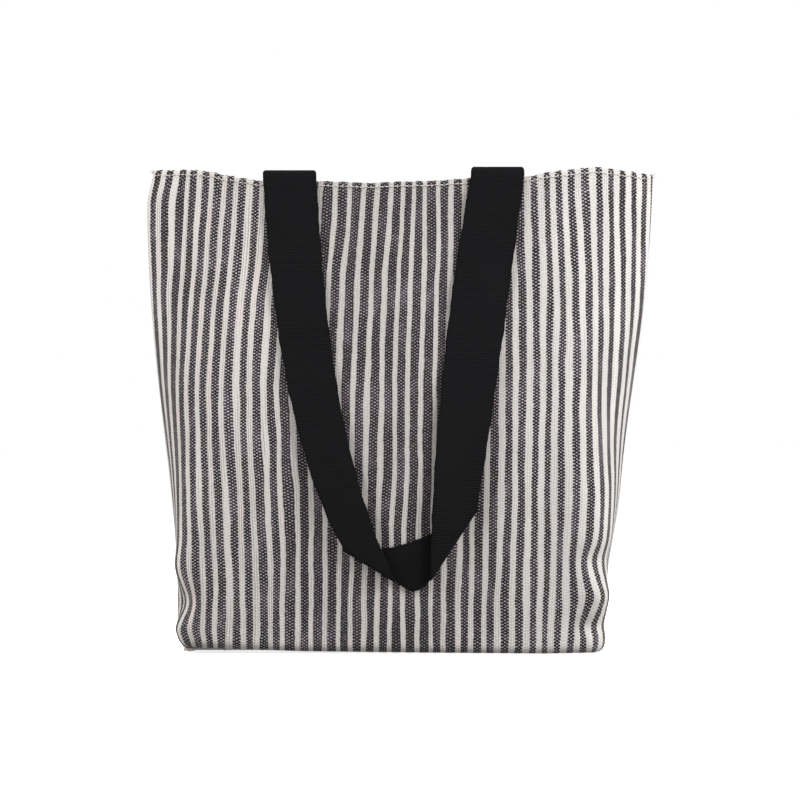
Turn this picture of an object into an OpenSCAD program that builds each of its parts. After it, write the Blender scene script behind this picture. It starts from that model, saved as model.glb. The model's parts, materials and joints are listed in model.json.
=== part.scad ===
// Canvas tote bag with boxed base corners and two hanging webbing handles.
// Millimetres, +Z up, front towards -Y, origin at the middle of the base on the floor.

/* [Bag] */
// Width of each cloth panel, from side seam to side seam
panel_w = 400; // [396:1:404]
// Height of the bag at its side seams
bag_h = 364; // [350:1:380]
// Width of the boxed base, from corner to corner
base_w = 320; // [316:1:324]
// Thickness of the cloth
cloth_t = 1.2; // [0.8:0.1:1.2]
// How far the rim sags between the side seams
rim_dip = 10; // [5:1:11]
// Radius of the soft edge round the base
edge_r = 6; // [5:0.5:8]

/* [Mouth] */
// Width of the flat stretch of rim that carries the handle
mouth_flat = 210; // [206:1:216]
// Angle between the rim and the bag's width at each side seam
mouth_turn = 40; // [34:1:44]
// Depth of the turned hem
hem_h = 8; // [6:1:10]
// Thickness of the turned hem
hem_t = 1.75; // [1.2:0.05:1.75]

/* [Handles] */
// Width of the webbing
strap_w = 40; // [36:1:42]
// Thickness of the webbing
strap_t = 2; // [1.6:0.1:2]
// Distance between the middles of a handle's two legs at the rim
handle_spacing = 156; // [148:1:160]
// How far both handles sit to the left, seen from the front
handle_shift = 4; // [0:1:4]
// Length of webbing sewn down inside the rim
tail_l = 45; // [42:1:50]
// Gap between a resting handle and the cloth
strap_gap = 0.8; // [0.7:0.1:1]

/* [Hidden] */

cloth_color = [0.72, 0.70, 0.69];
seam_color = [0.80, 0.78, 0.75];
thread_color = [0.88, 0.86, 0.82];
strap_color = [0.11, 0.11, 0.12];
black_thread_color = [0.16, 0.16, 0.17];

// Smallest gap left between two pieces of cloth that lie against each other
ply_gap = 0.05;
// Length of cloth that wraps each upright corner of the boxed base
corner_arc = 20;
// Share of the panel's width that its base flap keeps along the base seam
flap_share = 0.7;
// Where the webbing of a tail starts, inside the hem and inside the bare cloth
tail_d_hem = cloth_t + hem_t + 3*ply_gap;
tail_d_cloth = cloth_t + 2*ply_gap;
// Height of the hinge line above the rim, and the round fold of webbing about it
hinge_rise = 4.3;
hinge_y = -belly(1) + (tail_d_hem - strap_gap)/2;
hinge_z = bag_h - rim_dip + hinge_rise;
fold_r = (tail_d_hem + strap_gap)/2 + strap_t;
// Height that a seam allowance stands above the cloth it is pressed on, and its depth
allowance_t = 2*cloth_t;
allowance_w = 10;
// Thread of the stitching
thread_w = 0.8;
thread_t = 0.3;
// The stitched square that holds a tail, below the hem
box_w = strap_w - 6;
box_h = tail_l - hem_h - 10;

function ease(t) = let (c = min(max(t, 0), 1)) c*c*(3 - 2*c);
function mix(a, b, t) = a + (b - a)*t;
function steps(a, b, n) = [for (i = [0:n]) mix(a, b, i/n)];
function bezier(p, t) = p[0]*(1 - t)*(1 - t) + p[1]*2*t*(1 - t) + p[2]*t*t;

// Plan outline at the height fraction q: flat front, an arc, then a straight side.
// s is the distance along the cloth from the middle of the panel.
function flat_end(q) = mix((base_w - corner_arc)/2, mouth_flat/2, pow(ease(q), 0.6));
function arc_end(q) = mix((base_w + corner_arc)/2, panel_w/2, ease(q));
function side_turn(q) = mix(90, mouth_turn, ease(q));
function arc_r(q) = (arc_end(q) - flat_end(q))*180/(PI*side_turn(q));
function turn(s, q) = side_turn(q)*min(max((s - flat_end(q))/(arc_end(q) - flat_end(q)), 0), 1);
function run_x(s, q) =
    min(s, flat_end(q)) + arc_r(q)*sin(turn(s, q)) + max(s - arc_end(q), 0)*cos(side_turn(q));
function run_y(s, q) = arc_r(q)*(1 - cos(turn(s, q))) + max(s - arc_end(q), 0)*sin(side_turn(q));
function belly(q) = run_y(panel_w/2, q);

// Point on the outline, moved inward by inset. It never crosses the plane of the side seams.
function outline(u, q, inset) = let (s = abs(u), a = turn(s, q)) [
    (u < 0 ? -1 : 1)*(run_x(s, q) - inset*sin(a)),
    min(run_y(s, q) - belly(q) + inset*cos(a), -ply_gap)
];

// The cloth of the front half. u runs across the panel and v up it, d is the depth behind its face.
// v from -1 to 0 is the base flap, then the soft edge up to edge_r, then the wall up to bag_h.
function base_point(u, v, d) =
    let (p = mix(outline(u, 0, edge_r), [u*flap_share, -ply_gap], -v)) [p[0], p[1], d];
function edge_point(u, v, d) =
    let (a = 90*v/edge_r, p = outline(u, v/bag_h, edge_r - (edge_r - d)*sin(a)))
    [p[0], p[1], edge_r - (edge_r - d)*cos(a)];
function wall_point(u, v, d) =
    let (p = outline(u, min(v/bag_h, 1), d), sag = 1 - ease((abs(u) - mouth_flat/2)/45))
    [p[0], p[1], v - rim_dip*sag*pow(v/bag_h, 4)];
function place(u, v, d) =
    v < 0 ? base_point(u, v, d) : v < edge_r ? edge_point(u, v, d) : wall_point(u, v, d);

// A point at depth d on the flat middle of the front, from its real place x and z
function lie(p, d) = [p[0], d - belly((p[1] + rim_dip*pow(p[1]/bag_h, 4))/bag_h), p[1]];

// The four corners of a grid cell, in the order that splits it the same way on the left and right
function cell(a, n, left) = left ? [a, a + n, a + n + 1, a + 1] : [a + 1, a, a + n, a + n + 1];
function flipped(q) = [q[0], q[3], q[2], q[1]];

// Closed solid between two grids of points with n points a row, rows going up, front grid first
module slab(front, rear, n) {
    m = len(front);
    last = m - n;
    quads = concat(
        [for (j = [0:n:last - 1], i = [0:n - 2]) cell(i + j, n, i < (n - 1)/2)],
        [for (j = [0:n:last - 1], i = [0:n - 2]) flipped(cell(i + j + m, n, i < (n - 1)/2))],
        [for (a = [0:n - 2]) [a, a + 1, m + a + 1, m + a]],
        [for (a = [last:m - 2]) [a + 1, a, m + a, m + a + 1]],
        [for (a = [0:n:last - 1]) [a + n, a, m + a, m + a + n]],
        [for (a = [n - 1:n:last - 1]) [a, a + n, m + a + n, m + a]]
    );
    triangles = [for (q = quads) each [[q[0], q[1], q[2]], [q[0], q[2], q[3]]]];
    polyhedron(points = concat(front, rear), faces = triangles);
}

// Part of the front half's cloth between the depths d0 and d1
module sheet(us, vs, d0, d1) {
    slab([for (v = vs, u = us) place(u, v, d0)], [for (v = vs, u = us) place(u, v, d1)], len(us));
}

// Where the grid of a panel has its columns, and those that its hem covers
columns = steps(-panel_w/2, panel_w/2, 40);
hem_columns = [for (i = [1:len(columns) - 2]) columns[i]];

module panel() {
    rows = concat(steps(-1, 0, 3), steps(0, edge_r, 3), steps(edge_r, bag_h, 15));
    kept = [for (i = [0:len(rows) - 1]) if (i == 0 || rows[i] > rows[max(i - 1, 0)]) rows[i]];
    sheet(columns, kept, 0, cloth_t);
}

module hem() {
    sheet(hem_columns, steps(bag_h - hem_h, bag_h, 2), cloth_t + ply_gap, cloth_t + ply_gap + hem_t);
}

// One row of thread that follows the rim
module hem_stitching() {
    row = bag_h - hem_h/2;
    sheet(hem_columns, [row - thread_w/2, row + thread_w/2], -thread_t - 2*ply_gap, -2*ply_gap);
}

// The two raw edges of a side seam, standing inside the bag along the seam's plane
module side_seam() {
    heights = steps(edge_r + 4, bag_h - hem_h - 4, 16);
    function seam_x(v) = run_x(panel_w/2, v/bag_h) - mix(1.6, 4.2, v/bag_h);
    function rows(y) = [for (v = heights) each [[seam_x(v) - allowance_w, y, v], [seam_x(v), y, v]]];
    slab(rows(-allowance_t/2), rows(allowance_t/2), 2);
}

// The two raw edges of the base seam, pressed to the front
module base_allowance() {
    length = base_w - 30;
    translate([-length/2, -allowance_w - 0.5, cloth_t + 2*ply_gap])
        cube([length, allowance_w, allowance_t]);
}

// The raw edges of one boxed corner, pressed inward on the base
module corner_allowance() {
    length = 65;
    translate([base_w/2 - 3.5 - allowance_w, -length/2, cloth_t + 2*ply_gap])
        cube([allowance_w, length, allowance_t]);
}

// The end of a handle sewn down inside the rim. It steps over the hem.
module tail(x) {
    top = bag_h + 0.4;
    rows = steps(bag_h - tail_l, top, 9);
    function depth(v) = mix(tail_d_cloth, tail_d_hem, ease((v - bag_h + hem_h + 6)/5));
    function face(d) = [for (v = rows, u = [x - strap_w/2, x + strap_w/2]) place(u, v, depth(v) + d)];
    slab(face(0), face(strap_t), 2);
}

// Rectangle of stitching with a cross in it, seen square on
module box_cross() {
    difference() {
        square([box_w, box_h], center = true);
        square([box_w - 2*thread_w, box_h - 2*thread_w], center = true);
    }
    slope = atan2(box_h, box_w);
    for (a = [slope, -slope])
        rotate(a) square([norm([box_w, box_h]) - 3*thread_w, thread_w], center = true);
}

// The stitching of one tail: the same rectangle with a cross on the outside and on the inside
module tail_stitching(x) {
    low = bag_h - tail_l + 2;
    foot = place(x, low, 0);
    head = place(x, low + box_h, 0);
    tilt = atan2(head[1] - foot[1], head[2] - foot[2]);
    inside = tail_d_cloth + strap_t + 6*ply_gap;
    for (d = [-thread_t - 3*ply_gap, inside])
        translate((foot + head)/2)
            rotate([90 - tilt, 0, 0])
                translate([0, 0, -d - thread_t])
                    linear_extrude(thread_t) box_cross();
}

// Corners of the strap where it folds back at the bottom of the loop, and the gap at their tip
fold_left = [-43, 76];
fold_tip = [6, 46];
fold_right = [61, 108];
tip_gap = [1.5, 0];

// One leg of the handle, from the fold over the rim down to its fold at the bottom of the loop.
// Each edge is a curve given by its top, a control point and its foot.
module leg(left_edge, right_edge) {
    path = steps(1, 0, 20);
    function lift(t) = strap_gap + strap_t*ease((t - 0.5)/0.3)*1.05;
    function face(d) = [
        for (t = path) each [lie(bezier(left_edge, t), d - lift(t)), lie(bezier(right_edge, t), d - lift(t))]
    ];
    slab(face(-strap_t), face(0), 2);
}

// The strap between its two folds, lying behind both legs
module link() {
    path = steps(0, 1, 12);
    half = 1;
    function upper(t) = mix(fold_left, fold_right, t) + [0, half];
    function lower(t) =
        (t < 0.5 ? mix(fold_left, fold_tip, 2*t) : mix(fold_tip, fold_right, 2*t - 1)) - [0, half];
    function face(d) = concat([for (t = path) lie(lower(t), d)], [for (t = path) lie(upper(t), d)]);
    slab(face(-strap_gap - strap_t*1.1), face(-strap_gap), len(path));
}

module handle() {
    left = -handle_spacing/2 - handle_shift;
    right = handle_spacing/2 - handle_shift;
    half = strap_w/2;
    // Each fold is a hair narrower than its leg, so that their side faces don't coincide
    for (x = [left, right])
        translate([x - half + ply_gap, hinge_y, hinge_z])
            rotate([0, 90, 0]) cylinder(h = strap_w - 2*ply_gap, r = fold_r, $fn = 48);
    leg([[left - half, hinge_z], [-101, 217], fold_left], [[left + half, hinge_z], [-63, 203], fold_tip]);
    leg([[right - half, hinge_z], [33, 203], fold_tip + tip_gap],
        [[right + half, hinge_z], [79, 234], fold_right]);
    link();
}

// The back half's cloth is the front half's turned half round
module turned() {
    rotate([0, 0, 180]) children();
}

// The back handle hangs just behind the front one, and they match like two hands
module mirrored() {
    mirror([0, 1, 0]) children();
}

tail_left = -handle_spacing/2 - handle_shift;
tail_right = handle_spacing/2 - handle_shift;

module front_panel() { color(cloth_color) panel(); }
module back_panel() { color(cloth_color) turned() panel(); }
module front_hem() { color(cloth_color) hem(); }
module back_hem() { color(cloth_color) turned() hem(); }
module left_side_seam() { color(seam_color) mirror([1, 0, 0]) side_seam(); }
module right_side_seam() { color(seam_color) side_seam(); }
module base_seam() { color(seam_color) base_allowance(); }
module left_corner_seam() { color(seam_color) mirror([1, 0, 0]) corner_allowance(); }
module right_corner_seam() { color(seam_color) corner_allowance(); }
module front_hem_stitching() { color(thread_color) hem_stitching(); }
module back_hem_stitching() { color(thread_color) turned() hem_stitching(); }
module front_left_tail() { color(strap_color) tail(tail_left); }
module front_right_tail() { color(strap_color) tail(tail_right); }
module back_left_tail() { color(strap_color) mirrored() tail(tail_left); }
module back_right_tail() { color(strap_color) mirrored() tail(tail_right); }
module front_left_stitching() { color(black_thread_color) tail_stitching(tail_left); }
module front_right_stitching() { color(black_thread_color) tail_stitching(tail_right); }
module back_left_stitching() { color(black_thread_color) mirrored() tail_stitching(tail_left); }
module back_right_stitching() { color(black_thread_color) mirrored() tail_stitching(tail_right); }
module front_handle() { color(strap_color) handle(); }
module back_handle() { color(strap_color) mirrored() handle(); }

front_panel();
back_panel();
front_hem();
back_hem();
left_side_seam();
right_side_seam();
base_seam();
left_corner_seam();
right_corner_seam();
front_hem_stitching();
back_hem_stitching();
front_left_tail();
front_right_tail();
back_left_tail();
back_right_tail();
front_left_stitching();
front_right_stitching();
back_left_stitching();
back_right_stitching();
front_handle();
back_handle();
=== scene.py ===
"""Canvas tote bag: detailed cloth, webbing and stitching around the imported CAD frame."""
import json
import math

import bpy
import numpy as np
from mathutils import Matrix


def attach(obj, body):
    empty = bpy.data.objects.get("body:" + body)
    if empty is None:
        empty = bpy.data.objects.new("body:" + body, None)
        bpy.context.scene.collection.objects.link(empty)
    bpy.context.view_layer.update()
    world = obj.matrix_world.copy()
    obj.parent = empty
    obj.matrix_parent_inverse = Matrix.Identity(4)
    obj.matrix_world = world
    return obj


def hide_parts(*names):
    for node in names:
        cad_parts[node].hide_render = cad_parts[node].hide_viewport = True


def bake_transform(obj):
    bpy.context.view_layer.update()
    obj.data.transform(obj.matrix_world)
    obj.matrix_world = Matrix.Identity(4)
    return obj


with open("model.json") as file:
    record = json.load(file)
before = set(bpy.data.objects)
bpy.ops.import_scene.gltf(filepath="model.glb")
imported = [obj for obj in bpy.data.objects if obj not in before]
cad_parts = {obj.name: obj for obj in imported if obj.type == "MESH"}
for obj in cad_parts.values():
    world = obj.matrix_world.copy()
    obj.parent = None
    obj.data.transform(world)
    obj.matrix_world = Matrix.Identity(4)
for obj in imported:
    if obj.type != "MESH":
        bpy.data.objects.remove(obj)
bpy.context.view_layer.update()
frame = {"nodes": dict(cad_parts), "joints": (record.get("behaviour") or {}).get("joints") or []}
MM = 0.001
SIDES = ("front", "back")

# Sizes in millimetres, the same as the CAD model's: first the panels and their base
PANEL_W = 400.0
BAG_H = 364.0
BASE_W = 320.0
CLOTH_T = 1.2
# Smallest gap between two layers
PLY_GAP = 0.05
# Radius of the soft edge round the base, and length of cloth that wraps each corner of it
EDGE_R = 6.0
CORNER_ARC = 20.0
# Share of a panel's width that its base flap keeps along the base seam
FLAP_SHARE = 0.7
# Flat stretch of the rim, and the rim's angle in degrees at each side seam
MOUTH_FLAT = 210.0
MOUTH_TURN = 40.0
# How far the rim sags, and the length over which it rises again to a side seam
RIM_DIP = 10.0
SAG_EASE = 45.0
# Height and thickness of the hem, and the depth of its face inside the bag
HEM_H = 8.0
HEM_T = 1.75
HEM_D = CLOTH_T + PLY_GAP + HEM_T
# Webbing of the handles, and its gap from the cloth that it hangs against
STRAP_W = 40.0
STRAP_T = 2.0
STRAP_GAP = 0.8
# Middles of a handle's two legs at the rim
LEG_SPACING = 156.0
LEG_SHIFT = 4.0
LEGS = (-LEG_SPACING / 2 - LEG_SHIFT, LEG_SPACING / 2 - LEG_SHIFT)
# Length of a tail inside the bag, and the depth of its near side on the bare cloth and on the hem
TAIL_L = 45.0
TAIL_D_CLOTH = CLOTH_T + 2 * PLY_GAP
TAIL_D_HEM = CLOTH_T + HEM_T + 3 * PLY_GAP
# Height of the stitched box on a tail
BOX_H = TAIL_L - HEM_H - 10

# Sizes that differ from the CAD model's
# The stitched box on a tail is narrower, well clear of the webbing's edges
BOX_W = 28.0
# The back handle's legs stand this many times as far apart, as no two are sewn quite alike
BACK_SPREAD = 1.024

# The line that the front handle turns about
HINGE = next(j["pos_m"] for j in frame["joints"] if j["name"] == "front_handle_lift")
HINGE_Y = HINGE[1] / MM
HINGE_Z = HINGE[2] / MM


# ---------------------------------------------------------------- camera and light
# Places and sizes here are in metres
CAMERA_AWAY = 2.5
VIEW_WIDTH = 0.6075
SENSOR_MM = 36
VIEW_CENTRE_X = 0.0008
VIEW_CENTRE_Z = 0.1898
STUDIO_GLOW = 0.38


def add_to_scene(obj):
    bpy.context.scene.collection.objects.link(obj)
    return obj


def make_camera():
    data = bpy.data.cameras.new("camera")
    data.sensor_width = SENSOR_MM
    data.lens = SENSOR_MM * CAMERA_AWAY / VIEW_WIDTH
    camera = add_to_scene(bpy.data.objects.new("camera", data))
    camera.location = (VIEW_CENTRE_X, -CAMERA_AWAY, VIEW_CENTRE_Z)
    camera.rotation_euler = (math.pi / 2, 0, 0)
    bpy.context.scene.camera = camera
    bpy.context.scene.view_settings.view_transform = "Standard"


def look_at(obj, target):
    way = np.array(target) - np.array(obj.location)
    flat = math.hypot(way[0], way[1])
    obj.rotation_euler = (math.pi / 2 + math.atan2(way[2], flat), 0, math.atan2(-way[0], way[1]))


def area_light(name, place, target, size, power):
    data = bpy.data.lights.new(name, "AREA")
    data.shape = "DISK"
    data.size = size
    data.energy = power
    lamp = add_to_scene(bpy.data.objects.new(name, data))
    lamp.location = place
    look_at(lamp, target)


def make_world():
    """The studio lights the bag softly from all round, and is plain white where the camera sees it."""
    world = bpy.data.worlds.new("studio")
    world.use_nodes = True
    nodes, links = world.node_tree.nodes, world.node_tree.links
    soft = nodes["Background"]
    soft.inputs["Color"].default_value = (1, 1, 1, 1)
    soft.inputs["Strength"].default_value = STUDIO_GLOW
    plain = nodes.new("ShaderNodeBackground")
    plain.inputs["Color"].default_value = (1, 1, 1, 1)
    choice = nodes.new("ShaderNodeMixShader")
    links.new(nodes.new("ShaderNodeLightPath").outputs["Is Camera Ray"], choice.inputs[0])
    links.new(soft.outputs[0], choice.inputs[1])
    links.new(plain.outputs[0], choice.inputs[2])
    links.new(choice.outputs[0], nodes["World Output"].inputs["Surface"])
    bpy.context.scene.world = world


make_camera()
area_light("key", (1.17, -0.6, 0.78), (0.1, 0, 0.16), 0.8, 23)
area_light("fill", (-1.17, -0.56, 0.95), (-0.1, 0, 0.18), 0.8, 19.5)
area_light("back", (0.3, 1.8, 1.5), (0, 0, 0.2), 1.2, 26)
make_world()


# ---------------------------------------------------------------- plain shape of the bag
def ease(t):
    c = np.clip(t, 0, 1)
    return c * c * (3 - 2 * c)


def mix(a, b, t):
    return a + (b - a) * t


def unit(way):
    return way / np.linalg.norm(way)


def lengths_along(line):
    """Distance of each point of a line from its start."""
    return np.concatenate([[0], np.cumsum(np.linalg.norm(np.diff(line, axis=0), axis=1))])


def flat_end(q):
    return mix((BASE_W - CORNER_ARC) / 2, MOUTH_FLAT / 2, ease(q) ** 0.6)


def arc_end(q):
    return mix((BASE_W + CORNER_ARC) / 2, PANEL_W / 2, ease(q))


def side_turn(q):
    return np.radians(mix(90, MOUTH_TURN, ease(q)))


def run(s, q):
    """Plan position of the cloth s along it from its middle, and the way that it faces."""
    radius = (arc_end(q) - flat_end(q)) / side_turn(q)
    turn = side_turn(q) * np.clip((s - flat_end(q)) / (arc_end(q) - flat_end(q)), 0, 1)
    past = np.maximum(s - arc_end(q), 0)
    x = np.minimum(s, flat_end(q)) + radius * np.sin(turn) + past * np.cos(side_turn(q))
    y = radius * (1 - np.cos(turn)) + past * np.sin(side_turn(q))
    return x, y, turn


def belly(q):
    return run(PANEL_W / 2, q)[1]


def outline(u, q, inset):
    x, y, turn = run(np.abs(u), q)
    x = np.sign(u) * (x - inset * np.sin(turn))
    return x, np.minimum(y - belly(q) + inset * np.cos(turn), -PLY_GAP)


def place(u, v, d):
    """Point of the front half's cloth: u across it, v up it, d behind its face."""
    u, v, d = np.broadcast_arrays(*(np.asarray(a, float) for a in (u, v, d)))
    q = np.clip(v / BAG_H, 0, 1)
    sag = 1 - ease((np.abs(u) - MOUTH_FLAT / 2) / SAG_EASE)
    wall = np.stack([*outline(u, q, d), v - RIM_DIP * sag * np.maximum(v / BAG_H, 0) ** 4], -1)
    angle = np.radians(90 * np.clip(v / EDGE_R, 0, 1))
    edge = np.stack([
        *outline(u, q, EDGE_R - (EDGE_R - d) * np.sin(angle)),
        EDGE_R - (EDGE_R - d) * np.cos(angle),
    ], -1)
    rim = np.stack([*outline(u, 0 * q, EDGE_R), d], -1)
    seam = np.stack([u * FLAP_SHARE, 0 * u - PLY_GAP, d], -1)
    base = mix(rim, seam, np.clip(-v, 0, 1)[..., None])
    return np.where((v < 0)[..., None], base, np.where((v < EDGE_R)[..., None], edge, wall))


def front_depth(x, z):
    """Where the middle of the front face lies at a height."""
    return -belly((z + RIM_DIP * (z / BAG_H) ** 4) / BAG_H)


# ---------------------------------------------------------------- the bag as it stands
# Soft upright waves of each half: height, length across, drift up the bag and start
WAVES = {
    "front": ((1.25, 31.0, 210, 0.9), (0.85, 17.5, -120, 2.1), (0.5, 9.7, 70, 4.0)),
    "back": ((1.3, 35.0, -190, 2.4), (0.8, 15.5, 130, 0.4), (0.45, 9.1, -60, 1.0)),
}
# Broad swells of each half: height, then middle and width across the bag, and the same up it
SWELLS = {
    "front": ((1.4, (-118, 26), (150, 90)), (-1.6, (108, 30), (190, 110))),
    "back": ((1.7, (60, 40), (120, 80)), (-1.2, (-90, 30), (220, 90))),
}
# The uneven line of each half's rim: places across the bag, and how far the rim is lifted there
RIM_LINE = {
    "front": ((-195, 0), (-172, -0.3), (-154, -1.6), (-139, -4.4), (-124, -1.8), (-110, 0.2),
              (-56, 0), (-20, -1.6), (0, -0.4), (26, 0.3), (44, 2.0), (75, 3.2), (98, 4.4),
              (110, 7.6), (122, 5.4), (136, 2.0), (153, 0.6), (180, -2.2), (195, -4.2)),
    "back": ((-195, -1.4), (-172, -2.2), (-138, -0.6), (-110, 0.4), (-56, 0.8), (-20, -2.0),
             (0, -2.8), (26, -2.2), (44, -0.6), (98, 0.8), (113, 0.4), (136, -1.2), (153, -1.4),
             (180, -1.6), (195, -4)),
}
# The soft bottom edge in the same way, highest at the left, and how much of it each half takes
BOTTOM_LINE = ((-170, 5.5), (-138, 4.2), (-65, 1.8), (17, 0.9), (116, 0), (170, 1.2))
BOTTOM_SHARE = {"front": 1, "back": 0.5}
# The base stands this far to the left, and the rim this much further right than the base
BASE_SHIFT = 6.5
LEAN = 7


def hump(x, middle, width):
    return np.exp(-(((x - middle) / width) ** 2))


def folds(z, *sizes):
    """Soft folds across the bag, each with a size, a height and a width."""
    return sum(size * hump(z, middle, width) for size, middle, width in sizes)


def follow_line(x, line):
    return np.interp(x, *zip(*line))


def drape(x, z, side):
    """How far the cloth stands out of its plain shape. It lies calm near the rim and the floor."""
    calm = ease((BAG_H - 22 - z) / 60) * ease((z + 10) / 40)
    waves = sum(size * np.sin(x / length + start + z / drift)
                for size, length, drift, start in WAVES[side])
    swells = sum(size * hump(x, *across) * hump(z, *up) for size, across, up in SWELLS[side])
    return calm * (waves + swells)


def sway(x, z, high):
    """How far the cloth of the standing bag goes to the right."""
    left_shoulder = ease((-x - 40) / 70) * ease((x + 191) / 24) * ease((z - 190) / 200)
    pinched_end = ease((-x - 165) / 20) * ease((z - 336) / 30)
    right_side = ease((x - 120) / 40)
    foot = ease((17 - z) / 17)
    lean = LEAN * high - BASE_SHIFT
    upper = 8.0 * left_shoulder + 4.5 * pinched_end + 0.8 * ease((x - 120) / 50) * high
    lower = 3.0 * right_side * hump(z, 108, 42)
    pulled_in = 4.5 * ease((-x - 120) / 40) * foot - 2.0 * right_side * foot
    return lean + upper + lower + pulled_in


def lift(x, y, z, high, side):
    """How far the rim and the soft bottom edge stand above their plain height."""
    # the rim is a little uneven from thread to thread
    fuzz = 0.35 * np.sin(x * 1.13 + 2 * np.sin(x * 0.31)) + 0.25 * np.sin(x * 0.47 + 1.7)
    rim = follow_line(x, RIM_LINE[side]) * high ** 6 + fuzz * ease((z - BAG_H + 30) / 30)
    away_from_seam = np.clip(np.abs(y) / 30, 0, 1)
    low = ease((40 - z) / 40) * away_from_seam
    return rim + follow_line(x, BOTTOM_LINE) * low * BOTTOM_SHARE[side]


def corner_creases(x, y, z):
    """Folds of the two lower corners, as distances to the right and inward."""
    corner = ease((np.abs(y) - 2) / 20)
    left = hump(x, -160, 13) * corner
    right = hump(x, 152, 13) * corner
    outer_edge = hump(x, -172, 8) * (1 - 0.6 * corner)
    aside = left * folds(z, (6.0, 38, 15), (-1.8, 66, 12)) + outer_edge * folds(z, (1.2, 33, 9))
    aside = aside + right * folds(z, (-3.6, 70, 11), (3.4, 43, 9), (-3.2, 20, 8))
    inward = left * folds(z, (5.0, 37, 14))
    inward = inward + right * folds(z, (3.4, 70, 10), (-1.5, 44, 9), (3.0, 20, 8))
    return aside, inward


def settle(points, side):
    """The bag as it stands: leaning a little, its rim uneven, its lower corners creased."""
    p = np.array(points, float)
    if side == "back":
        p = p * np.array([-1, -1, 1])
    x, y, z = (p[..., i].copy() for i in range(3))
    high = np.clip(z / BAG_H, 0, 1.02)
    out = -1 if side == "front" else 1
    aside, inward = corner_creases(x, y, z)
    p[..., 0] += sway(x, z, high) + aside
    p[..., 1] += out * (drape(x, z, side) * ease((np.abs(y) - 1) / 26) - inward)
    p[..., 2] += lift(x, y, z, high, side)
    return p


# ---------------------------------------------------------------- mesh building
def make_object(name, points, faces, uvs, flat_faces=()):
    mesh = bpy.data.meshes.new(name)
    mesh.from_pydata([tuple(c * MM for c in p) for p in points], [], faces)
    smooth = np.ones(len(mesh.polygons), bool)
    smooth[list(flat_faces)] = False
    mesh.polygons.foreach_set("use_smooth", smooth)
    layer = mesh.uv_layers.new(name="cloth")
    corners = np.zeros(len(mesh.loops), int)
    mesh.loops.foreach_get("vertex_index", corners)
    layer.data.foreach_set("uv", (np.asarray(uvs, float)[corners] * MM).ravel())
    layer.active_render = True
    mesh.update()
    return add_to_scene(bpy.data.objects.new(name, mesh))


def shell(name, face, rear, uv):
    """Closed cloth between two grids of points, rows first."""
    rows, cols = face.shape[:2]
    count = rows * cols
    points = np.concatenate([face.reshape(-1, 3), rear.reshape(-1, 3)])
    uvs = np.concatenate([uv.reshape(-1, 2), uv.reshape(-1, 2)])
    at = np.arange(count).reshape(rows, cols)
    a, b, c, d = at[:-1, :-1].ravel(), at[:-1, 1:].ravel(), at[1:, 1:].ravel(), at[1:, :-1].ravel()
    cloth_faces = [np.stack([a, b, c, d], 1), np.stack([d, c, b, a], 1) + count]
    edge_faces = [
        np.stack([edge[:-1], edge[1:], edge[1:] + count, edge[:-1] + count], 1)
        for edge in (at[0, ::-1], at[-1, :], at[:, 0], at[::-1, -1])
    ]
    faces = np.concatenate(cloth_faces + edge_faces)
    first_edge_face = 2 * (rows - 1) * (cols - 1)
    return make_object(name, points, faces.tolist(), uvs, range(first_edge_face, len(faces)))


# Places across the webbing's rounded edge, and the radius of that edge
EDGE_STEPS = np.array([0, 0.25, 0.7, 1.3])
EDGE_ROUNDING = 1.1


def ribbon(name, edges, lengths, side):
    """Webbing with rounded edges between two edge lines, following the waves of the cloth."""
    edge_a, edge_b = edges
    way = np.gradient((edge_a + edge_b) / 2, axis=0)
    normals = np.cross(edge_b - edge_a, way)
    normals /= np.linalg.norm(normals, axis=1)[:, None]
    middle_steps = np.linspace(2.5, STRAP_W - 2.5, 15)
    across = np.concatenate([EDGE_STEPS, middle_steps, STRAP_W - EDGE_STEPS[::-1]]) / STRAP_W
    inset = np.clip(np.minimum(across, 1 - across) * STRAP_W / EDGE_ROUNDING, 0.06, 1)
    thick = (STRAP_T / 2 - PLY_GAP) * np.sqrt(np.clip(1 - (1 - inset) ** 2, 0, 1))
    line = edge_a[:, None] + (edge_b - edge_a)[:, None] * across[None, :, None]
    ridge = thick[None, :, None] * normals[:, None]
    wave = drape(line[..., 0], line[..., 2], side)
    front = line + ridge
    back = line - ridge
    front[..., 1] -= wave
    back[..., 1] -= wave
    ring = np.concatenate([front, back[:, ::-1]], 1)
    # the material is laid by the lengths along the two edges
    length_a, length_b = (length[:, None] for length in lengths)
    along = mix(length_a, length_b, across[None])
    uv_front = np.stack([np.broadcast_to(across * STRAP_W, along.shape), along], -1)
    uv = np.concatenate([uv_front, uv_front[:, ::-1]], 1)
    at = np.arange(ring.shape[0] * ring.shape[1]).reshape(ring.shape[:2])
    after = np.roll(at, -1, 1)
    quads = np.stack([at[:-1], at[1:], after[1:], after[:-1]], -1).reshape(-1, 4)
    faces = quads.tolist() + [at[0].tolist(), at[-1, ::-1].tolist()]
    ends = [len(faces) - 2, len(faces) - 1]
    return make_object(name, ring.reshape(-1, 3), faces, uv.reshape(-1, 2), ends)


# How much thinner a thread gets at its two ends
THREAD_END = 0.55


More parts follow.
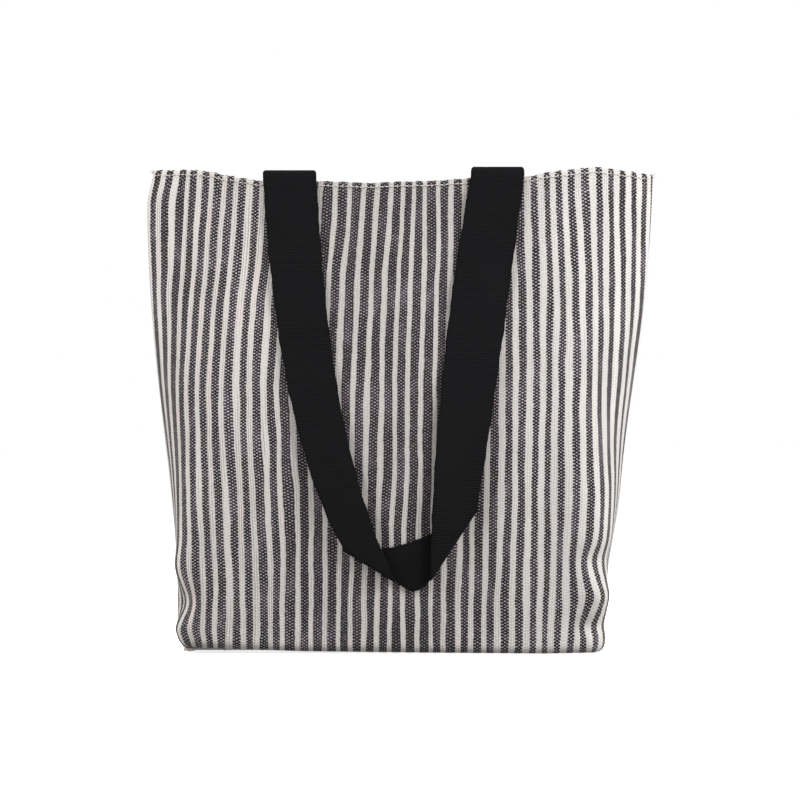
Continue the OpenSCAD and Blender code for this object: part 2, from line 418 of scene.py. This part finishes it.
def threads(name, lines, radius, sides=6):
    """Short lengths of thread, each a closed tube along its own line of points."""
    points, faces, uvs = [], [], []
    angles = np.arange(sides) * 2 * math.pi / sides
    for number, line in enumerate(lines):
        line = np.asarray(line, float)
        way = np.gradient(line, axis=0)
        way /= np.linalg.norm(way, axis=1)[:, None] + 1e-9
        helper = np.array([0.31, 0.87, 0.38]) if abs(way[0][1]) < 0.8 else np.array([1.0, 0, 0])
        across = np.cross(way, helper)
        across /= np.linalg.norm(across, axis=1)[:, None]
        other = np.cross(way, across)
        taper = np.ones(len(line))
        taper[[0, -1]] = THREAD_END
        ring = line[:, None] + radius * taper[:, None, None] * (
            np.cos(angles)[None, :, None] * across[:, None]
            + np.sin(angles)[None, :, None] * other[:, None]
        )
        start = len(points)
        points.extend(ring.reshape(-1, 3))
        # each thread lies on its own part of the material
        for length in lengths_along(line):
            uvs.extend([(k * 0.4 + number * 3.1, length) for k in range(sides)])
        for i in range(len(line) - 1):
            for k in range(sides):
                a, b = start + i * sides + k, start + i * sides + (k + 1) % sides
                faces.append((a, b, b + sides, a + sides))
        faces.append(tuple(start + k for k in reversed(range(sides))))
        last = start + (len(line) - 1) * sides
        faces.append(tuple(last + k for k in range(sides)))
    return make_object(name, points, faces, uvs)


# ---------------------------------------------------------------- materials
def linear(*srgb):
    """Linear colour of an sRGB one given from 0 to 255."""
    return tuple(((c / 255 + 0.055) / 1.055) ** 2.4 if c > 10 else c / 255 / 12.92 for c in srgb) + (1,)


class Finish:
    """A material's nodes, with short calls for the ones used here."""

    def __init__(self, name, roughness, sheen=0.0, specular=0.25):
        self.material = bpy.data.materials.new(name)
        self.material.use_nodes = True
        self.tree = self.material.node_tree
        self.shader = self.tree.nodes["Principled BSDF"]
        self.shader.inputs["Roughness"].default_value = roughness
        self.shader.inputs["Sheen Weight"].default_value = sheen
        self.shader.inputs["Sheen Roughness"].default_value = 0.6
        self.shader.inputs["Specular IOR Level"].default_value = specular
        # millimetres across and along the cloth
        uv = self.tree.nodes.new("ShaderNodeUVMap")
        uv.uv_map = "cloth"
        apart = self.new("ShaderNodeSeparateXYZ", Vector=uv.outputs[0])
        self.u = self.times(apart.outputs[0], 1 / MM)
        self.v = self.times(apart.outputs[1], 1 / MM)

    def new(self, kind, **inputs):
        node = self.tree.nodes.new(kind)
        for key, value in inputs.items():
            self.give(node.inputs[key.replace("_", " ")], value)
        return node

    def give(self, socket, value):
        if isinstance(value, bpy.types.NodeSocket):
            self.tree.links.new(value, socket)
        else:
            socket.default_value = value

    def math(self, operation, *values):
        node = self.tree.nodes.new("ShaderNodeMath")
        node.operation = operation
        for socket, value in zip(node.inputs, values):
            self.give(socket, value)
        return node.outputs[0]

    def add(self, a, b):
        return self.math("ADD", a, b)

    def times(self, a, b):
        return self.math("MULTIPLY", a, b)

    def weigh(self, start, *terms):
        """The start, with each term's value times its weight added to it."""
        total = start
        for value, weight in terms:
            total = self.math("MULTIPLY_ADD", value, weight, total)
        return total

    def step(self, value, low, high):
        """Soft step from 0 at low to 1 at high."""
        node = self.new("ShaderNodeMapRange", Value=value, From_Min=low, From_Max=high)
        node.interpolation_type = "SMOOTHSTEP"
        return node.outputs["Result"]

    def mix(self, amount, first, second):
        node = self.tree.nodes.new("ShaderNodeMix")
        node.data_type = "RGBA"
        self.give(node.inputs[0], amount)
        self.give(node.inputs[6], first)
        self.give(node.inputs[7], second)
        return node.outputs[2]

    def shade(self, colour, amount):
        return self.new("ShaderNodeHueSaturation", Color=colour, Value=amount).outputs[0]

    def noise(self, across, along, detail, seed):
        """Soft noise from about -0.5 to 0.5, with that many grains a millimetre across and along."""
        at = self.new("ShaderNodeCombineXYZ", X=self.times(self.u, across),
                      Y=self.times(self.v, along), Z=seed)
        node = self.new("ShaderNodeTexNoise", Vector=at.outputs[0], Scale=1.0, Detail=detail)
        return self.add(node.outputs[0], -0.5)

    def wave(self, value, length, shift=0.0):
        return self.math("COSINE", self.weigh(shift, (value, 2 * math.pi / length)))

    def bump(self, height, distance, strength=0.8):
        node = self.new("ShaderNodeBump", Height=height, Distance=distance, Strength=strength)
        self.tree.links.new(node.outputs[0], self.shader.inputs["Normal"])

    def finish(self, colour, roughness):
        self.give(self.shader.inputs["Base Color"], colour)
        self.give(self.shader.inputs["Roughness"], roughness)
        return self.material


# Stripes of the canvas, and the columns and rows of weft that show in the dark ones
PITCH = 10.0
COLUMN = 1.7
ROW = 2.35
# The canvas's own map: where a panel starts on it, and how far on the next panel starts
UV_LEFT = 30.0
UV_REPEAT = 517.0


def panel_zones(f):
    """Parts of a panel, the same on both: each is 1 in its part and fades to 0 outside it.

    Places are counted from the panel's left edge.
    """
    place_across = f.times(f.math("FRACT", f.times(f.add(f.u, -UV_LEFT), 1 / UV_REPEAT)), UV_REPEAT)
    off_middle = f.math("ABSOLUTE", f.add(place_across, -PANEL_W / 2))
    off_inner_left = f.math("ABSOLUTE", f.add(place_across, 40.0 - PANEL_W / 2))
    return {
        "middle": f.step(off_middle, 120.0, 40.0),
        "ends": f.step(off_middle, 140.0, 172.0),
        "left": f.step(place_across, 190.0, 90.0),
        "inner_left": f.step(off_inner_left, 75.0, 20.0),
        "right": f.step(place_across, 215.0, 300.0),
    }


def across_stripes(f, zone):
    """Distance across the stripes, which wander along the cloth and lean where it was pulled."""
    fan = f.weigh(0.0, (zone["right"], 6.0), (zone["inner_left"], -5.0))
    top_lean = f.times(fan, f.step(f.v, 270.0, 420.0))
    left_lean = f.times(zone["left"], f.step(f.v, 60.0, 260.0))
    return f.weigh(
        f.u,
        (f.noise(0.055, 0.0, 1.0, 3.7), 4.2),
        (f.noise(0.05, 0.016, 2.0, 1.3), 4.8),
        (f.noise(0.3, 0.25, 2.0, 8.1), 0.9),
        (top_lean, 1.0),
        (left_lean, 9.0),
    )


def dark_part(f, zone, stripe, off_centre, beat):
    """1 in the dark part of each stripe, which has a width of its own and frayed edges."""
    chance = f.tree.nodes.new("ShaderNodeTexWhiteNoise")
    chance.noise_dimensions = "1D"
    f.give(chance.inputs["W"], f.math("FLOOR", stripe))
    room = f.weigh(
        0.51,
        (chance.outputs["Value"], 0.13),
        # the dark parts are wider over the middle of the panel: partly the stripes' own width, partly
        # painted shade
        (zone["middle"], 0.07),
        (zone["right"], -0.08),
        (zone["left"], -0.03),
        (beat, 0.06),
        (f.noise(1.2, 0.8, 2.0, 5.0), 0.2),
        (f.math("ABSOLUTE", off_centre), -2.0),
    )
    return f.step(room, -0.05, 0.05)


def dark_yarn(f, zone, dot, speck):
    """Black warp, worn and dyed unevenly, with light dots of weft between its threads."""
    worn = f.step(f.noise(0.6, 0.05, 1.0, 6.6), 0.02, 0.3)
    dye = f.step(f.noise(0.7, 0.09, 2.0, 31.0), -0.02, 0.3)
    patch = f.noise(0.07, 0.028, 2.0, 27.0)
    # fewer light dots over the middle of the panel: partly the weave's own look, partly painted shade
    show = f.weigh(0.72, (speck, 0.5), (patch, 0.7), (zone["middle"], -0.27), (zone["ends"], -0.3))
    black = f.mix(f.times(worn, 0.7), linear(16, 10, 14), linear(48, 32, 42))
    black = f.mix(f.times(dye, 0.8), black, linear(66, 34, 36))
    black = f.mix(f.times(f.step(patch, 0.0, 0.22), 0.4), black, linear(92, 74, 90))
    return f.mix(f.times(dot, show), black, linear(209, 204, 207))


def light_yarn(f, zone, across, rib):
    """Off-white warp with fine coloured threads, ribs, slubs and knots, and a painted shade over the
    middle of the panel.
    """
    line = f.step(f.wave(across, 1.7, 0.6), 0.35, 1.0)
    tint = f.step(f.noise(0.22, 0.012, 1.0, 9.4), -0.14, 0.12)
    blush = f.step(f.noise(0.03, 0.016, 2.0, 17.0), -0.05, 0.22)
    # painted shade: the cream darkens over the middle of the panel, from 80 mm up and fully above 220
    # mm
    middle_painted_shade = f.times(zone["middle"], f.step(f.v, 80.0, 220.0))
    slub = f.step(f.noise(0.05, 0.8, 2.0, 12.0), 0.18, 0.34)
    knot = f.step(f.noise(0.45, 0.3, 2.0, 15.0), 0.24, 0.36)
    thread_amount = f.times(line, f.weigh(0.14, (tint, 0.7)))
    cream = f.mix(thread_amount, linear(214, 209, 205), linear(132, 114, 113))
    cream = f.mix(f.times(blush, 0.5), cream, linear(218, 206, 201))
    cream = f.mix(f.times(zone["right"], 0.5), cream, linear(215, 213, 210))
    # the cream is darkened here by painted shade over the middle of the panel
    cream = f.mix(f.times(middle_painted_shade, 0.7), cream, linear(189, 184, 179))
    cream = f.shade(cream, f.weigh(0.985, (rib, 0.07)))
    cream = f.mix(f.times(slub, 0.45), cream, linear(240, 237, 233))
    return f.mix(f.times(knot, 0.35), cream, linear(148, 146, 148))


def striped_canvas():
    f = Finish("striped_canvas", 0.9, 0.12)
    zone = panel_zones(f)
    across = across_stripes(f, zone)
    stripe = f.math("DIVIDE", across, PITCH)
    off_centre = f.add(f.math("FRACT", stripe), -0.5)
    row_place = f.weigh(f.v, (f.noise(0.09, 0.07, 2.0, 21.0), 1.9))
    beat = f.wave(row_place, ROW)
    rib = f.wave(row_place, ROW, 0.4)
    speck = f.noise(0.75, 0.55, 2.0, 2.2)
    lattice = f.times(f.wave(f.times(off_centre, PITCH), 2 * COLUMN), beat)
    dot = f.step(f.weigh(lattice, (speck, 1.3)), 0.27, 0.66)
    dark = dark_part(f, zone, stripe, off_centre, beat)
    neps = f.step(f.noise(0.16, 0.10, 2.0, 41.0), 0.26, 0.34)
    cover = f.times(dark, f.weigh(1.0, (neps, -0.55)))
    colour = f.mix(cover, light_yarn(f, zone, across, rib), dark_yarn(f, zone, dot, speck))
    mottle = f.noise(0.03, 0.022, 3.0, 4.0)
    fine = f.noise(0.8, 0.8, 2.0, 7.0)
    colour = f.shade(colour, f.weigh(1.0, (mottle, 0.16), (fine, 0.16)))
    warp = f.wave(across, 0.8)
    f.bump(f.weigh(0.0, (rib, 0.35), (warp, 0.3), (dot, 0.7), (fine, 1.2), (dark, -0.3)), 0.00022)
    return f.finish(colour, f.weigh(0.88, (fine, 0.2)))


def raw_edge():
    f = Finish("raw_edge", 0.92, 0.1)
    grain = f.noise(0.7, 0.7, 3.0, 2.0)
    fringe = f.noise(0.35, 2.2, 2.0, 5.0)
    colour = f.mix(f.step(fringe, -0.05, 0.2), linear(216, 210, 203), linear(150, 144, 142))
    f.bump(f.weigh(grain, (f.wave(f.v, 1.3), 0.4)), 0.0004)
    return f.finish(f.shade(colour, f.weigh(1.0, (grain, 0.3))), f.weigh(0.9, (grain, 0.2)))


def webbing():
    f = Finish("black_webbing", 0.7, specular=0.1)
    rib = f.wave(f.weigh(f.v, (f.noise(0.25, 0.25, 2.0, 1.0), 0.5)), 1.5)
    warp = f.wave(f.u, 1.35, 0.5)
    cross = f.times(f.wave(f.u, 2.7), f.wave(f.v, 3.0))
    selvedge = f.step(f.math("ABSOLUTE", f.add(f.u, -STRAP_W / 2)), 17.4, 18.2)
    grain = f.noise(1.1, 1.1, 2.0, 3.0)
    wear = f.noise(0.05, 0.03, 3.0, 6.0)
    lint = f.step(f.noise(0.9, 0.35, 3.0, 14.0), 0.24, 0.34)
    ridge = f.step(f.weigh(rib, (cross, 0.5)), -0.2, 1.2)
    colour = f.mix(ridge, linear(11, 11, 13), linear(24, 24, 27))
    colour = f.mix(f.times(selvedge, 0.35), colour, linear(9, 9, 10))
    colour = f.mix(f.times(lint, 0.18), colour, linear(80, 78, 79))
    colour = f.shade(colour, f.weigh(1.0, (wear, 0.5), (grain, 0.4)))
    f.bump(f.weigh(grain, (rib, 0.8), (warp, 0.35), (cross, 0.3)), 0.00022)
    return f.finish(colour, f.weigh(0.74, (grain, 0.25), (wear, 0.2)))


def thread(name, tone, dark_tone):
    f = Finish(name, 0.75, 0.1)
    grain = f.noise(2.0, 0.8, 2.0, 2.0)
    twist = f.add(f.wave(f.weigh(f.v, (f.u, 0.8)), 0.9), grain)
    f.bump(twist, 0.00012, 0.7)
    colour = f.mix(f.step(twist, -0.6, 0.8), linear(*dark_tone), linear(*tone))
    return f.finish(colour, f.weigh(0.75, (grain, 0.2)))


CANVAS = striped_canvas()
RAW = raw_edge()
WEBBING = webbing()
LIGHT_THREAD = thread("light_thread", (231, 227, 221), (176, 168, 162))
BLACK_THREAD = thread("black_thread", (44, 44, 47), (14, 14, 15))


def dress(obj, material, slot, *nodes):
    """Gives a piece of the bag its material, hangs it on the bag's body, and hides the CAD nodes that
    it stands for.
    """
    obj.data.materials.append(material)
    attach(obj, "bag")
    if nodes:
        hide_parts(*nodes)


def dress_cad_nodes():
    kinds = {"panel": CANVAS, "hem": CANVAS, "seam": RAW, "tail": WEBBING, "handle": WEBBING}
    for name, node in frame["nodes"].items():
        thread_kind = LIGHT_THREAD if name.endswith("hem_stitching") else BLACK_THREAD
        node.data.materials.clear()
        node.data.materials.append(kinds.get(name.rsplit("_", 1)[-1], thread_kind))


dress_cad_nodes()


# ---------------------------------------------------------------- cloth of the bag
HEM_FOLD_R = HEM_D / 2
FOLD_V = BAG_H - HEM_FOLD_R
# Gap between the two layers of the hem
HEM_GAP = 0.25


def wall_points(u, v, d, side):
    """Point of the settled bag on one half, u seen from that half's own side."""
    u = np.asarray(u, float)
    p = place(u, v, d)
    # the seam pulls the cloth's outer face in over its last 4 mm
    near_seam = np.clip((np.abs(u) - PANEL_W / 2 + 4) / 4, 0, 1)
    p[..., 0] -= np.sign(u) * 1.1 * near_seam ** 2 * np.clip(1.6 - np.asarray(d, float), 0, 1)
    return settle(p, side)


def hem_turn():
    """Heights and depths of the hem's face and rear, from its fold at the rim to its raw edge."""
    turn = np.radians([30, 60, 90, 120, 150, 180])
    foot = BAG_H - HEM_H
    down = np.linspace(FOLD_V - 1.2, foot + 0.8, 4)
    face = [(FOLD_V + HEM_FOLD_R * math.sin(a), HEM_FOLD_R * (1 - math.cos(a))) for a in turn]
    face += [(v, HEM_D) for v in down] + [(foot + 0.15, HEM_D - 0.35), (foot, HEM_D - 0.9)]
    rear = [(FOLD_V - 0.7 + 0.2 * math.sin(a), CLOTH_T + HEM_GAP * (1 - math.cos(a)) / 2)
            for a in turn]
    rear += [(v, CLOTH_T + HEM_GAP) for v in down]
    rear += [(foot + 0.3, CLOTH_T + 0.3), (foot + 0.1, CLOTH_T + 0.4)]
    return np.array(face), np.array(rear)


def make_panel(side):
    u = np.linspace(-PANEL_W / 2, PANEL_W / 2, 161)
    v = np.concatenate([np.linspace(-1, 0, 14)[:-1], np.linspace(0, EDGE_R, 5)[:-1],
                        np.linspace(EDGE_R, FOLD_V, 144)])
    rear_v = v.copy()
    rear_v[-1] -= 0.75
    face_turn, rear_turn = hem_turn()
    layers = []
    for rows, depth, turn in ((v, 0.0, face_turn), (rear_v, CLOTH_T, rear_turn)):
        all_v = np.concatenate([rows, turn[:, 0]])
        all_d = np.concatenate([0 * rows + depth, turn[:, 1]])
        layers.append(wall_points(u[None], all_v[:, None], all_d[:, None], side))
    along = lengths_along(layers[0][:, len(u) // 2])
    left = UV_LEFT if side == "front" else UV_LEFT + UV_REPEAT
    uv = np.stack(np.broadcast_arrays(u[None] + PANEL_W / 2 + left, along[:, None]), -1)
    panel = shell(side + "_cloth", *layers, uv)
    dress(panel, CANVAS, "striped_canvas", side + "_panel", side + "_hem")


for side in SIDES:
    make_panel(side)


# ---------------------------------------------------------------- rim stitching
# How deep a stitch's ends sink into the cloth, and how far its middle stands out of it
STITCH_SINK = 0.3
STITCH_RISE = 0.18


def outer_face(v):
    return 0.0


def hem_face(v):
    return HEM_D


def stitch_line(start, finish, at, face, length=3.0, gap=0.75):
    """Stitches along a straight run in cloth coordinates; face gives the depth that they lie on."""
    start, finish = np.array(start, float), np.array(finish, float)
    total = np.linalg.norm(finish - start)
    count = max(int(round(total / (length + gap))), 1)
    pitch = total / count
    lift_off = np.array([-STITCH_SINK, STITCH_RISE * 0.7, STITCH_RISE, STITCH_RISE * 0.7, -STITCH_SINK])
    lines = []
    for i in range(count):
        span = (np.array([0, 0.12, 0.5, 0.88, 1]) * (pitch - gap) + gap / 2 + i * pitch) / total
        uv = start + (finish - start) * span[:, None]
        inward = 1 if face(uv[0, 1]) > 0.5 else -1
        depth = np.array([face(v) for v in uv[:, 1]]) + inward * lift_off
        lines.append(at(uv[:, 0], uv[:, 1], depth))
    return lines


def make_rim_stitches(side):
    row = BAG_H - HEM_H / 2
    end = PANEL_W / 2 - 5
    inner_end = end - 1.9

    def at(u, v, d):
        return wall_points(u, v, d, side)

    lines = stitch_line((-end, row), (end, row), at, outer_face)
    lines += stitch_line((-inner_end, row), (inner_end, row), at, hem_face)
    stitches = threads(side + "_rim_stitches", lines, 0.5)
    dress(stitches, LIGHT_THREAD, "light_thread", side + "_hem_stitching")


for side in SIDES:
    make_rim_stitches(side)


# ---------------------------------------------------------------- handles
# Corners of the loop's two soft folds, and the pull of the two edges of the webbing between them
FOLD_LEFT = (-41.4, 79.6)
FOLD_LOW_LEFT = (-2.6, 55.0)
FOLD_LOW_RIGHT = (23.2, 55.7)
FOLD_RIGHT = (58.4, 111.0)
LOOP_LOW = (13.4, 40.3)
LOOP_INNER = (2.0, 71.0)
# The round fold over the rim, and how far the right leg's stands higher than the left one's
FOLD_R = (TAIL_D_HEM + STRAP_GAP + STRAP_T) / 2
RIGHT_RISE = 2.6
# Middle of the webbing that lies against the cloth, how far the legs lie in front of it, and the
# radius of the folds between them
LINK_D = -STRAP_GAP - STRAP_T / 2
BOTTOM_LIFT = 5.2
BEND_R = BOTTOM_LIFT / 2


def bezier(p, t):
    """Points along a curve of three or four control points."""
    p = np.array(p, float)
    t = np.asarray(t, float)[:, None]
    while len(p) > 1:
        p = [mix(a, b, t) for a, b in zip(p[:-1], p[1:])]
    return p[0]


def lay(flat, forward=0.0):
    """A flat line laid on the front of the bag, or that far in front of it."""
    depth = front_depth(flat[:, 0], flat[:, 1]) + LINK_D - forward
    return np.stack([flat[:, 0], depth, flat[:, 1]], 1)


def leg_edges(left_edge, right_edge, stations):
    """Edge lines of a hanging leg, from its top to the fold at its foot."""
    t = np.linspace(0, 1, stations)
    edges = []
    for edge in (left_edge, right_edge):
        flat = bezier(edge, t)
        along = flat[:, 1]
        # a worn selvedge is never quite straight
        soft = 0.28 * np.sin(along / 5.3 + edge[0][0]) + 0.16 * np.sin(along / 2.1)
        flat[:, 0] += soft * ease(t / 0.1) * ease((1 - t) / 0.1)
        edges.append(lay(flat, BOTTOM_LIFT * ease((t - 0.42) / 0.58)))
    return edges


def over_rim(middle, rise):
    """Edge lines of the round fold over the rim, from inside the bag to the top of a leg."""
    angle = np.linspace(0, math.pi, 14)
    below = np.array([4.0, 2.6, 1.2])
    y = np.concatenate([0 * below + HINGE_Y + FOLD_R, HINGE_Y + FOLD_R * np.cos(angle)])
    z = np.concatenate([HINGE_Z - below, HINGE_Z + (FOLD_R + rise) * np.sin(angle)])
    # the corners of the fold are worn a little rounder than its middle
    half = STRAP_W / 2 - np.concatenate([0 * below, np.sin(angle) ** 6])
    return [np.stack([middle + s * half, y, z], 1) for s in (-1, 1)]


def bottom_fold(top, tip, turned):
    """Edge lines of the soft fold that takes a leg round behind itself."""
    angle = np.linspace(0, math.pi, 9)[1:-1]
    along = unit(np.subtract(tip, top))
    outward = turned * np.array([along[1], -along[0]])
    edges = []
    for (x, z), roundness in ((top, 0.4), (tip, 0.0)):
        y = front_depth(x, z) + LINK_D - BEND_R - BEND_R * np.cos(angle)
        swell = BEND_R * np.sin(angle) * roundness
        edges.append(np.stack([x + outward[0] * swell, y, z + outward[1] * swell], 1))
    return edges


def handle_edges():
    """The webbing's outer and inner edge lines: rim, left leg, link, right leg and rim again."""
    half = STRAP_W / 2
    left_leg = leg_edges([(LEGS[0] - half, HINGE_Z), (-97, 270), (-83, 151), FOLD_LEFT],
                         [(LEGS[0] + half, HINGE_Z), (-56, 262), (-48, 151), FOLD_LOW_LEFT], 96)
    right_leg = leg_edges([(LEGS[1] - half, HINGE_Z), (38, 275), (24.5, 160), FOLD_LOW_RIGHT],
                          [(LEGS[1] + half, HINGE_Z), (84, 280), (71, 185), FOLD_RIGHT], 92)
    left_fold = bottom_fold(FOLD_LEFT, FOLD_LOW_LEFT, 1)
    right_fold = bottom_fold(FOLD_RIGHT, FOLD_LOW_RIGHT, -1)
    t = np.linspace(0, 1, 30)
    link = [lay(bezier([FOLD_LEFT, LOOP_INNER, FOLD_RIGHT], t)),
            lay(bezier([FOLD_LOW_LEFT, LOOP_LOW, FOLD_LOW_RIGHT], t))]
    first, last = over_rim(LEGS[0], 0.0), over_rim(LEGS[1], RIGHT_RISE)
    return [
        np.concatenate([first[i], left_leg[i][1:], left_fold[i], link[i], right_fold[i][::-1],
                        right_leg[1 - i][::-1][:-1], last[1 - i][::-1]])
        for i in (0, 1)
    ]


def mirror(piece):
    """Moves a piece made for the front of the bag to the same place behind."""
    co = np.zeros(len(piece.data.vertices) * 3)
    piece.data.vertices.foreach_get("co", co)
    co = co.reshape(-1, 3) * np.array([BACK_SPREAD, -1, 1])
    piece.data.vertices.foreach_set("co", co.ravel())
    piece.data.flip_normals()
    piece.data.update()


def make_handle(side):
    edges = handle_edges()
    lengths = [lengths_along(edge) + TAIL_L for edge in edges]
    piece = ribbon(side + "_handle_webbing", edges, lengths, side)
    if side == "back":
        mirror(piece)
    piece.data.materials.append(WEBBING)
    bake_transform(piece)
    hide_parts(side + "_handle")


def tail_depth(v):
    """Depth of a tail's face, which steps over the hem."""
    return mix(TAIL_D_CLOTH, TAIL_D_HEM, ease((v - BAG_H + HEM_H + 6) / 5))


def tail_face(v):
    return float(tail_depth(v)) + STRAP_T


def make_tail(side, which, middle):
    foot, top = BAG_H - TAIL_L, BAG_H + 0.4
    v = np.concatenate([[foot], np.linspace(foot + 1, top, 34)])
    depth = tail_depth(v) + STRAP_T / 2
    edges = [place(middle + s * STRAP_W / 2, v, depth) for s in (-1, 1)]
    length = np.linspace(0, TAIL_L, len(v))
    piece = ribbon(side + "_" + which + "_tail_webbing", edges, [length, length], side)
    if side == "back":
        mirror(piece)
    dress(piece, WEBBING, "black_webbing", side + "_" + which + "_tail")


def make_box(side, which, middle):
    """The square of stitching that holds a tail, with a cross in it."""
    low = BAG_H - TAIL_L + 2
    high = low + BOX_H
    left, right = middle - BOX_W / 2, middle + BOX_W / 2
    runs = [((left, low), (right, low)), ((right, low), (right, high)),
            ((right, high), (left, high)), ((left, high), (left, low)),
            ((left, low), (right, high)), ((left, high), (right, low))]

    def at(u, v, d):
        p = place(u, v, d)
        p[..., 1] -= drape(p[..., 0], p[..., 2], side)
        return p * np.array([1, 1, 1] if side == "front" else [BACK_SPREAD, -1, 1])

    lines = []
    for start, finish in runs:
        for face in (outer_face, tail_face):
            lines += stitch_line(start, finish, at, face, 2.6, 0.7)
    piece = threads(side + "_" + which + "_box_stitches", lines, 0.42)
    dress(piece, BLACK_THREAD, "black_thread", side + "_" + which + "_stitching")


for side in SIDES:
    make_handle(side)
    for which, middle in zip(("left", "right"), LEGS):
        make_tail(side, which, middle)
        make_box(side, which, middle)


# ---------------------------------------------------------------- inside seams
random = np.random.default_rng(11)
# Distance between the rows of a strip
SEAM_STEP = 2.4
# Widths of the raw edges
SIDE_EDGE_W = 9.6
BASE_EDGE_W = 9.0
CORNER_EDGE_W = 8.6
# Height of the middle of a raw edge that lies on the base
SEAM_LIE = CLOTH_T + 1.15
# How far the seams of the settled base stand from their plain place
BASE_SEAM_X = -6.4
CORNER_SEAM_X = -6.0
# Half the thickness of a pair of raw edges, from the seam to their fringe
SEAM_HALF_T = np.array([1, 1, 0.95, 0.9, 0.8, 0.55])


def seam_strip(name, inner, outer, across):
    """Two raw edges standing together: a strip between two lines, with its frayed edge waved."""
    count = len(inner)
    t = np.linspace(0, 1, len(SEAM_HALF_T))
    wave = 0.7 * np.sin(np.arange(count) * 0.55) + random.normal(0, 0.25, count)
    line = outer[:, None] + (inner - outer)[:, None] * t[None, :, None]
    line += across[None, None] * (wave[:, None] * t[None] ** 2)[..., None]
    half = across[None, None] * SEAM_HALF_T[None, :, None]
    reach = np.linalg.norm(inner[0] - outer[0])
    uv = np.stack(np.broadcast_arrays(t[None] * reach, lengths_along(outer)[:, None]), -1)
    piece = shell(name + "_edges", line - half, line + half, uv)
    dress(piece, RAW, "raw_edge", name + "_seam")
    overcast = threads(name + "_overcast", overcast_loops(line, across), 0.4)
    dress(overcast, LIGHT_THREAD, "light_thread")


def overcast_loops(line, across):
    """Loops of thread over the frayed edge of a strip, one for every second row of it."""
    out = across * 1.25
    loops = []
    for i in range(1, len(line) - 2, 2):
        a, b = line[i], line[i + 1]
        deep, upper, rim = a[1], (a[1] + a[3]) / 2, b[-1]
        slant = (a[4] + b[4]) / 2
        tip = rim + unit(b[-1] - b[-2]) * 0.5
        loops.append([deep - out * 0.6, upper - out, slant - out * 0.9, rim - out * 0.6, tip,
                      rim + out * 0.6, slant + out * 0.9, upper + out, deep + out * 0.6])
    return loops


def make_side_seam(name, sign):
    heights = np.arange(EDGE_R + 4, BAG_H - HEM_H - 3.9, SEAM_STEP)
    q = heights / BAG_H
    edge_x = run(PANEL_W / 2, q)[0] - mix(1.6, 4.2, q)
    lines = [np.stack([sign * x, 0 * q, heights], 1) for x in (edge_x - SIDE_EDGE_W, edge_x)]
    seam_strip(name, *(settle(line, "front") for line in lines), np.array([0, 1.0, 0]))


def make_base_seam():
    half = (BASE_W - 30) / 2
    x = np.arange(1 - half, half - 0.9, SEAM_STEP) + BASE_SEAM_X
    seam_y = -0.6
    lines = [np.stack([x, 0 * x + y, 0 * x + SEAM_LIE], 1) for y in (seam_y - BASE_EDGE_W, seam_y)]
    seam_strip("base", *lines, np.array([0, 0, 1.0]))


def make_corner_seam(name, sign):
    y = SEAM_STEP * np.arange(-11, 12)
    seam_x = BASE_W / 2 - 4.5
    lines = [np.stack([0 * y + sign * x + CORNER_SEAM_X, y, 0 * y + SEAM_LIE], 1)
             for x in (seam_x - CORNER_EDGE_W, seam_x)]
    seam_strip(name, *lines, np.array([0, 0, 1.0]))


make_side_seam("left_side", -1)
make_side_seam("right_side", 1)
make_base_seam()
make_corner_seam("left_corner", -1)
make_corner_seam("right_corner", 1)


# ---------------------------------------------------------------- loose threads at the rim's ends
def make_loose_threads():
    tufts = []
    for sign in (-1, 1):
        for side in SIDES:
            own_sign = sign if side == "front" else -sign
            for _ in range(5):
                u = own_sign * (PANEL_W / 2 - random.uniform(0.3, 2.2))
                start = wall_points(u, BAG_H - random.uniform(0.6, 2.0), 0.6, side)
                way = np.array([sign * random.uniform(0.4, 1.3), random.uniform(-0.5, 0.5),
                                random.uniform(0.0, 1.1)])
                curl = random.normal(0, 0.35, 3)
                tufts.append([start + way * k + curl * k * k for k in (0, 0.6, 1.2, 1.9)])
    dress(threads("rim_loose_threads", tufts, 0.16, 5), LIGHT_THREAD, "light_thread")


make_loose_threads()


# ---------------------------------------------------------------- studio
# Half the floor's width in metres, and how brightly it glows
FLOOR_REACH = 9.0
FLOOR_GLOW = 0.72


def make_floor():
    corners = [(x * FLOOR_REACH, y * FLOOR_REACH, 0) for x, y in ((-1, -1), (1, -1), (1, 1), (-1, 1))]
    mesh = bpy.data.meshes.new("floor")
    mesh.from_pydata(corners, [], [(0, 1, 2, 3)])
    floor = add_to_scene(bpy.data.objects.new("floor", mesh))
    material = bpy.data.materials.new("floor")
    material.use_nodes = True
    shader = material.node_tree.nodes["Principled BSDF"]
    shader.inputs["Base Color"].default_value = (0.93, 0.93, 0.93, 1)
    shader.inputs["Roughness"].default_value = 0.9
    shader.inputs["Emission Color"].default_value = (1, 1, 1, 1)
    shader.inputs["Emission Strength"].default_value = FLOOR_GLOW
    mesh.materials.append(material)
    # its glow is for the eye only, and lights nothing
    floor.visible_diffuse = False
    floor.visible_glossy = False


make_floor()
bpy.context.view_layer.update()
